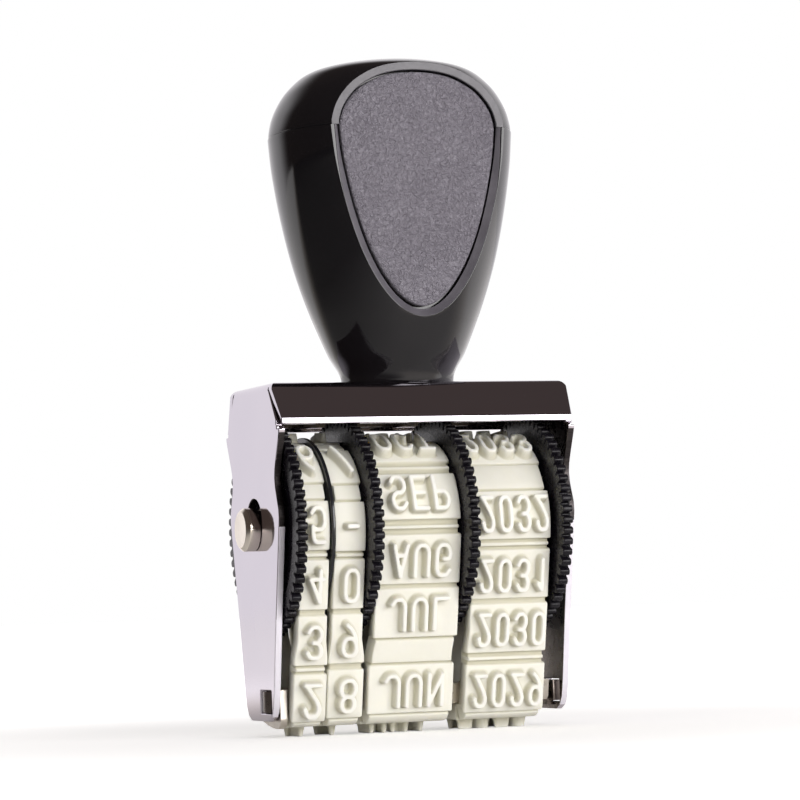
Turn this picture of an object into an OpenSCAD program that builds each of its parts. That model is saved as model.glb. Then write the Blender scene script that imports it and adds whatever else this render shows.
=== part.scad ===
// Self-contained band date stamp: pressed metal frame, four rubber date bands
// on four thumb wheels, and a two-part hollow handle.
// Millimetres. Z = 0 is the print face, +Z runs up to the top of the handle,
// X runs along the wheel axle, and the stamp is used with -Y towards the hand.

/* [Frame] */
// Width over the two cheeks
frame_w = 35.6; // [35.2:0.1:36.4]
// Thickness of the frame sheet
sheet_t = 0.8; // [0.6:0.05:0.85]
// Height of the top plate above the print face
top_z = 39.5; // [39.3:0.05:39.6]
// Depth of the flat top plate
top_d = 14.0; // [13.6:0.1:14.4]
// Depth over the sloping front and rear shoulders
shoulder_d = 19.2; // [19.0:0.1:19.6]
// Outer radius of the bends between the top plate and the shoulders
fold_r = 1.6; // [1.0:0.1:1.8]
// Outer radius of the bends between the top plate and the cheeks
bend_r = 0.9; // [0.9:0.1:1.4]
// Height of the cheeks' lower edge above the print face
cheek_z0 = 1.85; // [1.7:0.05:1.9]

/* [Axle and thumb wheels] */
// Height of the wheel axle above the print face
axle_z = 23.35; // [23.2:0.05:23.5]
// Diameter of the wheel axle
axle_d = 4.9; // [4.6:0.1:5.2]
// Length of the wheel axle
axle_l = 39.0; // [38.6:0.1:39.8]
// Radial running clearance of the wheels on the axle
axle_gap = 0.05; // [0.03:0.01:0.08]
// Radius of a thumb wheel over its teeth
wheel_r = 12.4; // [12.2:0.1:12.5]
// Depth of a thumb wheel's teeth
tooth_h = 0.75; // [0.5:0.05:0.9]
// Number of teeth on a thumb wheel
teeth = 62; // [48:2:72]
// Thickness of a thumb wheel's toothed rim
rim_t = 1.15; // [1.0:0.05:1.15]
// Radius of the plain separator disc
disc_r = 10.25; // [10.0:0.05:10.6]

/* [Date bands] */
// Radius of the bands' pad face around the axle
pad_r = 9.7; // [9.6:0.05:9.75]
// Thickness of a band from its inner side to the pad face
band_t = 1.85; // [1.7:0.05:1.9]
// Height of the raised characters
relief = 1.1; // [0.9:0.05:1.1]
// Half depth of the flat print face at the bottom of a band
face_y = 5.6; // [5.4:0.1:5.8]
// Length of one character pad along the band
pad_l = 5.6; // [5.2:0.1:5.8]
// Depth of the grooves between the pads
groove = 0.45; // [0.2:0.05:0.6]
// Height of one character
char_h = 4.0; // [3.6:0.1:4.2]
// Width of a character's stroke
stroke = 0.52; // [0.4:0.02:0.6]

/* [Handle] */
// Height of the top of the handle above the print face
handle_top = 76.8; // [76.7:0.1:77.2]
// Height of the seam between the handle's body and its cap
seam_z = 68.2; // [67.6:0.1:68.6]
// Distance of the handle's front and rear flats from its axis
flat_y = 9.35; // [9.3:0.05:9.6]
// Wall thickness of the handle shells
wall = 2.0; // [1.7:0.1:2.2]
// Width of the rim around a handle panel
rim_w = 0.95; // [0.8:0.05:1.1]
// Depth of the recess for a handle panel
recess = 1.3; // [1.1:0.05:1.4]
// Thickness of a handle panel
panel_t = 1.1; // [0.9:0.05:1.1]
// Diameter of the handle screw's shank
screw_d = 4.0; // [3.8:0.1:4.2]

/* [Hidden] */

hw = frame_w / 2;            // half width over the cheeks
in_x = hw - sheet_t;         // inner face of a cheek
corner_r = 2.0;              // bend of the pad face at the print end
foot = relief;               // height of the bottom pad face
axle_groove_d = 4.3;         // neck of the axle inside each cheek
drum_r = pad_r - band_t - 0.1;
bore_d = axle_d + 2 * axle_gap;

// Wheels along X: [toothed rim from, rim to, drum from, drum to]
w_tens  = [-16.85, -16.85 + rim_t, -16.85 + rim_t, -12.15];
w_units = [-7.85, -7.85 + rim_t, -11.65, -7.85];
w_month = [3.6, 3.6 + rim_t, -6.6, 3.6];
w_year  = [14.8, 14.8 + rim_t, 4.85, 14.8];

// Bands along X: [from, to]
b_tens  = [-15.58, -12.18];
b_units = [-11.62, -7.95];
b_month = [-6.58, 3.45];
b_year  = [4.9, 14.35];

// Pads along each band, as distances from the middle of the print face
p_tens  = [0, 7.9, 14.5, 20.8, 27.5, 35.4, 43.2, 50.2, 57.2, 64.4, 71.0, 77.6];
p_units = [0, 8.3, 14.6, 20.8, 27.3, 35.2, 43.4, 50.4, 57.4, 64.4, 71.0, 77.4];
p_month = [0, 8.6, 17.3, 23.4, 30.7, 38.2, 45.6, 52.4, 58.8, 65.4, 71.6, 77.6];
p_year  = [0, 8.2, 15.2, 21.4, 28.2, 37.6, 44.6, 51.4, 58.2, 65.0, 71.4, 77.6];

// Characters on the pads, from the print face up the front and down the rear
t_tens  = ["1", "2", "3", "4", "5", "6", "7", "8", "9", "0", "-", "/"];
t_units = ["7", "8", "9", "0", "-", "/", "1", "2", "3", "4", "5", "6"];
t_month = ["MAY", "JUN", "JUL", "AUG", "SEP", "OCT", "NOV", "DEC", "JAN", "FEB", "MAR", "APR"];
t_year  = ["2028", "2029", "2030", "2031", "2032", "2033", "2034", "2035", "2036", "2037", "2038", "2039"];

// ---------- the line that a band's pad face follows ----------
dz = axle_z - foot - corner_r;
dy = face_y - corner_r;
dd = sqrt(dy * dy + dz * dz);
turn = 270 - (atan2(dz, dy) + acos((corner_r - pad_r) / dd));  // turn of the lower corner
s1 = dy;                                    // end of the flat print face
s2 = s1 + corner_r * turn * PI / 180;       // end of the lower corner
s3 = s2 + sqrt(dd * dd - (pad_r - corner_r) * (pad_r - corner_r));
s4 = s3 + pad_r * (180 - turn) * PI / 180;  // top of the loop
loop_l = 2 * s4;

function corner_pt(a, off) = [-dy - (corner_r + off) * sin(a), foot + corner_r - (corner_r + off) * cos(a)];
function wheel_pt(a, off) = [-(pad_r + off) * sin(a), axle_z - (pad_r + off) * cos(a)];
function half_pt(s, off) =
    s <= s1 ? [-s, foot - off, 0] :
    s <= s2 ? let (a = (s - s1) / corner_r * 180 / PI) concat(corner_pt(a, off), [a]) :
    s <= s3 ? let (k = (s - s2) / (s3 - s2), p = corner_pt(turn, off), q = wheel_pt(turn, off))
              [p[0] + k * (q[0] - p[0]), p[1] + k * (q[1] - p[1]), turn] :
    let (a = turn + (s - s3) / pad_r * 180 / PI) concat(wheel_pt(a, off), [a]);
// [y, z, turned angle] at distance s along the loop, off outside the pad face
function loop_pt(s, off = 0) =
    s < 0 ? loop_pt(s + loop_l, off) :
    s <= s4 ? half_pt(s, off) :
    let (h = half_pt(loop_l - s, off)) [-h[0], h[1], 360 - h[2]];

function pad_edge(c, i) = [for (k = [0:8]) let (p = loop_pt(c - pad_l / 2 + k * pad_l / 8, 0)) [p[0], p[1]]];
function gap_edge(a, b) = [for (k = [0:7]) let (p = loop_pt(a + 0.1 + k * (b - a - 0.2) / 7, -groove)) [p[0], p[1]]];
function band_outer(pads) = [for (i = [0:11]) each concat(pad_edge(pads[i], i),
    gap_edge(pads[i] + pad_l / 2, (i < 11 ? pads[i + 1] : loop_l) - pad_l / 2))];
inner_n = 110;
function band_inner() = [for (k = [0:inner_n - 1]) let (p = loop_pt(k * loop_l / inner_n, -band_t)) [p[0], p[1]]];

// ---------- characters as stroked lines on a 4 by 6 grid ----------
// Each stroke is [closed, points]
function glyph(c) =
    c == "0" || c == "O" ? [[1, [[1, 0], [3, 0], [4, 1], [4, 5], [3, 6], [1, 6], [0, 5], [0, 1]]]] :
    c == "1" ? [[0, [[1, 4.7], [2.5, 6], [2.5, 0]]]] :
    c == "2" ? [[0, [[0, 4.6], [0.3, 5.4], [1.1, 6], [2.9, 6], [3.8, 5.3], [3.9, 4.3], [3.3, 3.2], [0.3, 0]]], [0, [[0.1, 0], [4, 0]]]] :
    c == "3" ? [[0, [[0, 5], [0.9, 6], [3, 6], [3.9, 5.2], [3.9, 4], [3, 3.1], [1.6, 3.1]]], [0, [[2.8, 3.1], [4, 2.1], [4, 0.9], [3, 0], [1, 0], [0, 1]]]] :
    c == "4" ? [[0, [[3, 0], [3, 6]]], [0, [[3, 6], [0.1, 1.7]]], [0, [[0, 1.6], [4, 1.6]]]] :
    c == "5" ? [[0, [[3.8, 6], [0.4, 6], [0.2, 3.3]]], [0, [[0.3, 3.4], [1.2, 3.8], [3, 3.8], [4, 2.9], [4, 1], [3, 0], [1, 0], [0, 0.9]]]] :
    c == "6" ? [[1, [[1, 0], [3, 0], [4, 1], [4, 2.4], [3, 3.4], [1, 3.4], [0, 2.4], [0, 1]]], [0, [[0, 2], [0.2, 3.6], [1.2, 5], [2.8, 6]]]] :
    c == "7" ? [[0, [[0, 6], [4, 6]]], [0, [[3.9, 6], [1.4, 0]]]] :
    c == "8" ? [[1, [[1.1, 3.2], [0.3, 4], [0.3, 5.2], [1.1, 6], [2.9, 6], [3.7, 5.2], [3.7, 4], [2.9, 3.2]]],
                [1, [[1, 0], [3, 0], [4, 0.9], [4, 2.3], [3, 3.2], [1, 3.2], [0, 2.3], [0, 0.9]]]] :
    c == "9" ? [[1, [[3, 6], [1, 6], [0, 5], [0, 3.6], [1, 2.6], [3, 2.6], [4, 3.6], [4, 5]]], [0, [[4, 4], [3.8, 2.4], [2.8, 1], [1.2, 0]]]] :
    c == "A" ? [[0, [[0, 0], [2, 6]]], [0, [[2, 6], [4, 0]]], [0, [[0.7, 1.9], [3.3, 1.9]]]] :
    c == "B" ? [[0, [[0, 0], [0, 6]]], [0, [[0, 6], [2.8, 6], [3.7, 5.2], [3.7, 4], [2.8, 3.1], [0, 3.1]]], [0, [[2.6, 3.1], [4, 2.2], [4, 0.9], [3, 0], [0, 0]]]] :
    c == "C" ? [[0, [[4, 1.1], [3, 0], [1, 0], [0, 1], [0, 5], [1, 6], [3, 6], [4, 4.9]]]] :
    c == "D" ? [[1, [[0, 0], [2.7, 0], [4, 1.2], [4, 4.8], [2.7, 6], [0, 6]]]] :
    c == "E" ? [[0, [[4, 6], [0, 6], [0, 0], [4, 0]]], [0, [[0, 3.1], [3.3, 3.1]]]] :
    c == "F" ? [[0, [[4, 6], [0, 6], [0, 0]]], [0, [[0, 3.1], [3.3, 3.1]]]] :
    c == "G" ? [[0, [[4, 5], [3, 6], [1, 6], [0, 5], [0, 1], [1, 0], [3, 0], [4, 1], [4, 2.8], [2.3, 2.8]]]] :
    c == "J" ? [[0, [[4, 6], [4, 1], [3, 0], [1, 0], [0, 1]]]] :
    c == "L" ? [[0, [[0, 6], [0, 0], [4, 0]]]] :
    c == "M" ? [[0, [[0, 0], [0, 6]]], [0, [[0.1, 5.8], [2, 2.4]]], [0, [[2, 2.4], [3.9, 5.8]]], [0, [[4, 6], [4, 0]]]] :
    c == "N" ? [[0, [[0, 0], [0, 6]]], [0, [[0.1, 5.8], [3.9, 0.2]]], [0, [[4, 0], [4, 6]]]] :
    c == "P" ? [[0, [[0, 0], [0, 6]]], [0, [[0, 6], [3, 6], [4, 5.1], [4, 3.8], [3, 2.9], [0, 2.9]]]] :
    c == "R" ? [[0, [[0, 0], [0, 6]]], [0, [[0, 6], [3, 6], [4, 5.1], [4, 3.8], [3, 2.9], [0, 2.9]]], [0, [[2, 2.9], [3.9, 0]]]] :
    c == "S" ? [[0, [[0, 1], [1, 0], [3, 0], [4, 1], [4, 2.2], [3, 3.1], [1, 3.1], [0, 4], [0, 5], [1, 6], [3, 6], [4, 5]]]] :
    c == "T" ? [[0, [[0, 6], [4, 6]]], [0, [[2, 0], [2, 6]]]] :
    c == "U" ? [[0, [[0, 6], [0, 1], [1, 0], [3, 0], [4, 1], [4, 6]]]] :
    c == "V" ? [[0, [[0, 6], [1.9, 0]]], [0, [[2.1, 0], [4, 6]]]] :
    c == "Y" ? [[0, [[0, 6], [2, 3]]], [0, [[2, 3], [4, 6]]], [0, [[2, 3.2], [2, 0]]]] :
    c == "-" ? [[0, [[0.6, 3], [3.4, 3]]]] :
    [[0, [[0.1, 0], [3.9, 6]]]];

function unit(v) = v / norm(v);
function left(v) = [-v[1], v[0]];
// Offset of corner i of a line by h to its left, with mitred corners
function side(p, i, h, closed) =
    let (n = len(p),
         a = closed ? unit(p[i] - p[(i + n - 1) % n]) : (i > 0 ? unit(p[i] - p[i - 1]) : unit(p[1] - p[0])),
         b = closed ? unit(p[(i + 1) % n] - p[i]) : (i < n - 1 ? unit(p[i + 1] - p[i]) : a),
         m = left(a) + left(b),
         end = closed ? [0, 0] : (i == 0 ? -0.9 * abs(h) * b : (i == n - 1 ? 0.9 * abs(h) * a : [0, 0])))
    p[i] + m * (h / (1 + a * b)) + end;
function edge(p, h, closed) = [for (i = [0:len(p) - 1]) side(p, i, h, closed)];
function flip(p) = [for (i = [len(p) - 1:-1:0]) p[i]];

module stroke_solid(closed, p, h) {
    if (closed == 1)
        linear_extrude(h) difference() {
            polygon(edge(p, -stroke / 2, true));
            polygon(edge(p, stroke / 2, true));
        }
    else
        linear_extrude(h) polygon(concat(edge(p, stroke / 2, false), flip(edge(p, -stroke / 2, false))));
}

// One character, w wide and centred on its own origin
module character(c, w, h) {
    sx = (w - stroke) / 4;
    sy = (char_h - stroke) / 6;
    for (g = glyph(c)) stroke_solid(g[0], [for (q = g[1]) [(q[0] - 2) * sx, (q[1] - 3) * sy]], h);
}

// A row of characters on the pad at distance s, centred at x
module row(txt, x, s, w, pitch) {
    p = loop_pt(s, -0.5);
    translate([x, p[0], p[1]]) rotate([-p[2], 0, 0]) mirror([0, 0, 1])
        for (i = [0:len(txt) - 1]) translate([(i - (len(txt) - 1) / 2) * pitch, 0, 0])
            character(txt[i], w, relief + 0.5);
}

module along_x(x0, x1) { translate([x0, 0, 0]) rotate([90, 0, 90]) linear_extrude(x1 - x0) children(); }
module rod(x0, x1, d, z = axle_z) { translate([x0, 0, z]) rotate([0, 90, 0]) cylinder(h = x1 - x0, d = d, $fn = 96); }
module round_rod(x0, x1, d, c) {
    translate([0, 0, axle_z]) rotate([0, 90, 0]) rotate_extrude($fn = 96)
        polygon([[0, x0], [d / 2 - c, x0], [d / 2, x0 + c], [d / 2, x1 - c], [d / 2 - c, x1], [0, x1]]);
}

// ---------- frame ----------
function mirrored(p) = concat(p, [for (i = [len(p) - 1:-1:0]) [-p[i][0], p[i][1]]]);
function arc(cx, cy, r, a0, a1, n) = [for (k = [0:n]) let (a = a0 + (a1 - a0) * k / n) [cx + r * cos(a), cy + r * sin(a)]];
sh_y = shoulder_d / 2;
sh_z = top_z - 4.1;
lip_z = sh_z - 0.7;
slit = 0.2;                  // gap between the shoulders and the cheeks' edges
edge_y = sh_y - sheet_t - slit;
cheek_side = [[3.1, cheek_z0], [4.1, cheek_z0 + 0.5], [4.75, cheek_z0 + 1.5], [5.1, cheek_z0 + 2.9], [6.55, 13.2],
              [8.5, 23.4], [8.68, 24.4], [8.6, 25.4], [8.1, 26.7], [7.7, 27.8], [7.55, 28.8], [7.7, 29.8],
              [8.1, 30.8], [8.7, 32.1], [9.15, 33.1], [9.42, 33.8], [9.46, 34.2], [9.3, 34.5], [edge_y, lip_z - 0.15],
              [edge_y, sh_z - 0.2], [top_d / 2 - 0.9, top_z - 0.55], [top_d / 2 - 0.75, top_z]];

// the bend between a shoulder and the top plate
fold_a = atan2(top_z - sh_z, sh_y - top_d / 2);
fold = arc(top_d / 2 - fold_r * tan(fold_a / 2), top_z - fold_r, fold_r, 90 - fold_a, 90, 6);

module frame() color("silver") difference() {
    intersection() {
        union() {
            along_x(-hw, hw) polygon(concat(
                [[-sh_y, lip_z], [-sh_y, sh_z]], [for (q = fold) [-q[0], q[1]]],
                [for (k = [len(fold) - 1:-1:0]) fold[k]], [[sh_y, sh_z], [sh_y, lip_z]],
                [[sh_y - sheet_t, lip_z], [sh_y - sheet_t, sh_z - 0.15], [top_d / 2 - 0.45, top_z - sheet_t],
                 [-top_d / 2 + 0.45, top_z - sheet_t], [-sh_y + sheet_t, sh_z - 0.15], [-sh_y + sheet_t, lip_z]]));
            along_x(-hw, -in_x) polygon(mirrored(cheek_side));
            along_x(in_x, hw) polygon(mirrored(cheek_side));
        }
        // rounded bends between the top plate and the cheeks
        translate([0, 12, 0]) rotate([90, 0, 0]) linear_extrude(24) polygon(concat(
            [[hw, 0]], arc(hw - bend_r, top_z - bend_r, bend_r, 0, 90, 8),
            arc(-hw + bend_r, top_z - bend_r, bend_r, 90, 180, 8), [[-hw, 0]]));
    }
    // keyholes: the axle goes in above and drops its necks into the lower lobes
    for (x = [-hw - 1, in_x - 1]) {
        rod(x, x + sheet_t + 2, axle_groove_d + 0.1);
        rod(x, x + sheet_t + 2, axle_d + 0.3, axle_z + 0.85);
    }
    // slots for the saddle's tabs
    for (x = [-hw - 1, in_x - 1]) translate([x, -4.2, 2.75]) cube([sheet_t + 2, 3.9, 2.55]);
    // clearance hole for the handle screw
    translate([0, 0, top_z - 3]) cylinder(h = 4, d = screw_d + 0.3, $fn = 64);
    // the shoulders' ends draw in towards the lip, and their gap to the cheeks runs up into the bend
    for (m = [0, 1], n = [0, 1]) mirror([m, 0, 0]) mirror([0, n, 0]) {
        intersection() {
            along_x(-hw - 1, -in_x + 1) polygon([[-sh_y - 1, lip_z - 0.5], [-edge_y - slit / 2, lip_z - 0.5],
                [-edge_y - slit / 2, sh_z - 0.2], [-top_d / 2 + 0.78, top_z - 0.6], [-sh_y - 1, top_z - 0.6]]);
            translate([0, 1, 0]) rotate([90, 0, 0]) linear_extrude(14)
                polygon([[-hw - 1, top_z - 0.6], [-hw, top_z - 0.6], [-hw + 0.45, lip_z - 0.6], [-hw - 1, lip_z - 0.6]]);
        }
        along_x(-hw - 1, -in_x) polygon([[-top_d / 2 + 0.5, top_z - 0.9], [-top_d / 2 + 0.9, top_z - 0.9],
            [-top_d / 2 + 0.88, top_z - 0.5], [-top_d / 2 + 0.66, top_z - 0.5]]);
    }
}

// ---------- saddle under the bands ----------
sad_z = foot + band_t + 0.05;   // underside of the trough, inside the bands
sad_y = face_y - band_t - 0.1;
end_plate = concat([[4.4, 5.35], [4.4, 2.9], [3.9, 2.3], [1.9, 1.8], [0.1, 1.35], [-1.5, 1.1], [-2.8, 1.0]], arc(-3.3, 2.2, 1.2, 270, 180, 5), [[-4.5, 5.35]]);
module saddle() color("lightgray") {
    // trough: full length floor, and side walls that stop short of the right cheek
    along_x(-in_x + 0.1, in_x - 0.1) polygon([[-sad_y + 0.4, sad_z], [sad_y - 0.4, sad_z], [sad_y - 1.0, sad_z + 0.75], [-sad_y + 1.0, sad_z + 0.75]]);
    for (m = [0, 1]) mirror([0, m, 0]) along_x(-in_x + 0.1, in_x - 1.15) polygon([
        [-sad_y - 0.35, 5.35], [-sad_y, sad_z + 0.5], [-sad_y + 0.4, sad_z], [-sad_y + 1.1, sad_z],
        [-sad_y + 1.0, sad_z + 0.75], [-sad_y + 0.75, sad_z + 0.9], [-sad_y + 0.45, 5.35]]);
    // left end plate beside the outer band, and the smaller right one
    along_x(-in_x + 0.1, -in_x + 0.9) polygon(end_plate);
    along_x(in_x - 0.9, in_x - 0.1) polygon([[-2.6, 5.0], [-2.6, 2.35], [2.6, 2.35], [2.6, 5.0]]);
    // rolled tabs in the cheeks' slots
    for (m = [0, 1]) mirror([m, 0, 0]) intersection() {
        translate([in_x - 0.45, -2.25, 2.85]) cylinder(h = 2.35, r = 1.5, $fn = 64);
        translate([in_x - 0.6, -4.1, 2.8]) cube([4, 3.7, 2.5]);
    }
}

// ---------- axle ----------
module axle() color("gainsboro") difference() {
    round_rod(-axle_l / 2, axle_l / 2, axle_d, 0.4);
    for (x = [-hw - 0.05, in_x - 0.05]) difference() {
        rod(x, x + sheet_t + 0.1, axle_d + 2);
        rod(x - 1, x + sheet_t + 2, axle_groove_d);
    }
}

module axle_spacer() color("dimgray") difference() {
    rod(w_year[1] + 0.05, in_x - 0.05, 8.4);
    rod(10, 20, bore_d);
}

// ---------- thumb wheels ----------
function tooth_ring() = [for (i = [0:teeth - 1]) each [for (q = [[-0.4, -tooth_h], [-0.35, -0.36], [-0.27, -0.1], [-0.13, 0], [0.13, 0], [0.27, -0.1], [0.35, -0.36], [0.4, -tooth_h]])
    let (a = (i + q[0]) * 360 / teeth, r = wheel_r + q[1]) [r * cos(a), r * sin(a)]]];
module thumb_wheel(w) difference() {
    union() {
        translate([0, 0, axle_z]) along_x(w[0], w[1]) polygon(tooth_ring());
        rod(min(w[2], w[1]), max(w[3], w[0]), 2 * drum_r);
    }
    rod(-20, 20, bore_d);
    // dished outer side of the toothed rim
    if (w[2] >= w[1]) difference() { rod(w[0] - 1, w[0] + 0.3, 20.6); rod(w[0] - 2, w[0] + 2, 8.4); }
    else difference() { rod(w[1] - 0.3, w[1] + 1, 20.6); rod(w[1] - 2, w[1] + 2, 8.4); }
}
module wheel_tens() color("#1c1a1e") thumb_wheel(w_tens);
module wheel_units() color("#1c1a1e") thumb_wheel(w_units);
module wheel_month() color("#1c1a1e") thumb_wheel(w_month);
module wheel_year() color("#1c1a1e") thumb_wheel(w_year);
module separator_disc() color("#242328") difference() {
    rod(-12.1, -11.7, 2 * disc_r);
    rod(-20, 0, bore_d);
}

// ---------- bands ----------
module band(b, pads, txt, w, pitch) {
    difference() {
        along_x(b[0], b[1]) polygon(band_outer(pads));
        along_x(b[0] - 1, b[1] + 1) polygon(band_inner());
    }
    for (i = [0:11]) row(txt[i], (b[0] + b[1]) / 2, pads[i], w, pitch);
}
module band_tens() color("#f0eee0") band(b_tens, p_tens, t_tens, 2.0, 2.2);
module band_units() color("#f0eee0") band(b_units, p_units, t_units, 2.0, 2.2);
module band_month() color("#f0eee0") band(b_month, p_month, t_month, 2.05, 2.55);
module band_year() color("#f0eee0") band(b_year, p_year, t_year, 1.75, 2.2);

// ---------- handle ----------
// Height above the print face and radius of the handle's pear shape
pear = [[39.5, 6.4], [40.4, 6.5], [42.9, 7.8], [45.6, 8.95], [48.4, 10.05], [51.2, 11.0], [54, 11.8],
        [58, 12.7], [62, 13.4], [65, 13.8], [68.2, 14.05]];
dome = [[68.2, 14.0], [69.3, 13.85], [70.6, 13.5], [71.8, 12.95], [73, 12.2], [74, 11.3], [74.8, 10.4], [75.5, 9.2], [75.95, 7.8], [76.32, 6.1], [76.62, 3.9]];
function lin(t, z, i = 0) = i >= len(t) - 2 || z <= t[i + 1][0]
    ? t[i][1] + (t[i + 1][1] - t[i][1]) * (z - t[i][0]) / (t[i + 1][0] - t[i][0]) : lin(t, z, i + 1);
function handle_r(z) = z < 68.2 ? lin(pear, z) : lin(dome, z);
function shell(t, d) = [for (q = t) [q[1] - d, q[0]]];

// Outline of the flats in the X-Z plane, moved inwards by w
z_lo = 46.62;
z_hi = 75.41;
flat_half = [for (k = [0:28]) let (u = k / 28, z = z_lo + (z_hi - z_lo) * (0.5 - 0.5 * cos(180 * u)), r = handle_r(z)) [sqrt(max(0.0001, r * r - flat_y * flat_y)), z]];
flat_line = concat(flat_half, [for (k = [27:-1:1]) [-flat_half[k][0], flat_half[k][1]]]);
function flat_edge(w) = edge(flat_line, w, true);

module slab(y) { translate([-20, -y, 30]) cube([40, 2 * y, 60]); }
module flat_cut(w, depth) { for (s = [0, 1]) mirror([0, s, 0]) translate([0, -flat_y + depth, 0]) rotate([90, 0, 0]) linear_extrude(3) polygon(flat_edge(w)); }

module handle_body() color("#151418") difference() {
    intersection() {
        rotate_extrude($fn = 120) polygon(concat([[0, top_z]], shell(pear, 0), [[0, seam_z]]));
        slab(flat_y);
    }
    // hollow upper part
    intersection() {
        rotate_extrude($fn = 120) polygon([[0, 50], [7.6, 50], [9.0, 54], [10.2, 58], [11.0, 62], [11.6, seam_z + 1], [0, seam_z + 1]]);
        slab(flat_y - recess - 1.3);
    }
    // seat of the cap's spigot
    flat_cut(rim_w, recess);
    // pocket of the thread insert, and the screw's way in
    translate([0, 0, top_z - 1]) cylinder(h = 3.05, d = screw_d + 0.4, $fn = 64);
    translate([0, 0, top_z + 2]) cylinder(h = 9.05, d = 6.9, $fn = 64);
}

module handle_cap() color("#1a191d") difference() {
    union() {
        intersection() {
            rotate_extrude($fn = 120) polygon(concat([[0, seam_z]], shell(dome, 0), [[0, handle_top]]));
            slab(flat_y);
        }
        // spigot into the body
        intersection() {
            rotate_extrude($fn = 120) polygon([[0, seam_z - 2.2], [11.2, seam_z - 2.2], [11.45, seam_z + 0.01], [0, seam_z + 0.01]]);
            slab(flat_y - recess - 1.45);
        }
    }
    // hollow underside
    intersection() {
        rotate_extrude($fn = 120) polygon([[0, seam_z - 3], [9.9, seam_z - 3], [10.2, seam_z + 1], [9.9, seam_z + 3], [8.2, seam_z + 5.2], [5.4, seam_z + 6.6], [0, seam_z + 7]]);
        slab(flat_y - recess - 2.8);
    }
    flat_cut(rim_w, recess);
}

module panel() rotate([90, 0, 0]) translate([0, 0, flat_y - recess]) linear_extrude(panel_t) polygon(flat_edge(rim_w + 0.12));
module panel_front() color("#3a383c") panel();
module panel_rear() color("#3a383c") rotate([0, 0, 180]) panel();

module thread_insert() color("darkgoldenrod") difference() {
    translate([0, 0, top_z + 2.05]) union() {
        cylinder(h = 8.9, d = 6.1, $fn = 64);
        cylinder(h = 1.2, d = 6.8, $fn = 64);
        translate([0, 0, 7.7]) cylinder(h = 1.2, d = 6.8, $fn = 64);
    }
    translate([0, 0, top_z]) cylinder(h = 20, d = screw_d + 0.06, $fn = 64);
}

module handle_screw() color("silver") difference() {
    union() {
        translate([0, 0, top_z - sheet_t - 0.6]) cylinder(h = 11.4, d = screw_d, $fn = 64);
        translate([0, 0, top_z - sheet_t - 0.6 - 1.6]) rotate_extrude($fn = 64)
            polygon([[0, 0], [2.9, 0], [3.5, 0.6], [3.5, 1.6], [0, 1.6]]);
    }
    // cross recess
    for (a = [0, 90]) rotate([0, 0, a]) translate([-1.6, -0.35, top_z - sheet_t - 2.3]) cube([3.2, 0.7, 1.2]);
}

module screw_washer() color("gainsboro") difference() {
    translate([0, 0, top_z - sheet_t - 0.6]) cylinder(h = 0.6, d = 9, $fn = 64);
    translate([0, 0, top_z - 4]) cylinder(h = 5, d = screw_d + 0.3, $fn = 64);
}

frame();
saddle();
axle();
axle_spacer();
wheel_tens();
wheel_units();
wheel_month();
wheel_year();
separator_disc();
band_tens();
band_units();
band_month();
band_year();
handle_body();
handle_cap();
panel_front();
panel_rear();
thread_insert();
handle_screw();
screw_washer();
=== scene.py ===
import math

import bmesh
import bpy
import numpy as np
from mathutils import Matrix, Vector


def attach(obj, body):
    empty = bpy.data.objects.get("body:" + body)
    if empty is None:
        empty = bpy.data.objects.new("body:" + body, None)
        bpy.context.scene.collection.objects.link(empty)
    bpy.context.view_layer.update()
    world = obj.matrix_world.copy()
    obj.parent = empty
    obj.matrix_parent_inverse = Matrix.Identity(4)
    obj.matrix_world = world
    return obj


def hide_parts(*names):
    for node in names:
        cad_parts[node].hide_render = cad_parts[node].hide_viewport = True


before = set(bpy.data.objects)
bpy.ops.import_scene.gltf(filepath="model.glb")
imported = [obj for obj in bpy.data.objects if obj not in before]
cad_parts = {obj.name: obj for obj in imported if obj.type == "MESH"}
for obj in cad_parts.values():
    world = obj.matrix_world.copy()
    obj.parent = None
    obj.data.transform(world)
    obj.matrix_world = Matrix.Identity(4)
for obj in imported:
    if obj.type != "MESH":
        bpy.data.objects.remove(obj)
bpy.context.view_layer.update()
MM = 0.001
SCENE = bpy.context.scene

# --------------------------------------------------------------------------
# the camera, at the viewing angle: front left, a little below the middle
# --------------------------------------------------------------------------
R = Vector((0.93482905, -0.3535386, -0.03324313)).normalized()
U = Vector((0.01006637, -0.06719485, 0.99768909)).normalized()
F = Vector((0.35495537, 0.93300338, 0.05925684)).normalized()
cam_data = bpy.data.cameras.new("camera")
cam = bpy.data.objects.new("camera", cam_data)
SCENE.collection.objects.link(cam)
cam_data.sensor_width = 36.0
cam_data.lens = 153.0
cam_data.clip_start, cam_data.clip_end = 0.01, 20.0
cam.matrix_world = Matrix((
    (R.x, U.x, -F.x, -0.138245),
    (R.y, U.y, -F.y, -0.3640025),
    (R.z, U.z, -F.z, 0.014694),
    (0, 0, 0, 1)))
SCENE.camera = cam
SCENE.view_settings.view_transform = "Standard"
SCENE.view_settings.look = "None"


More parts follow.
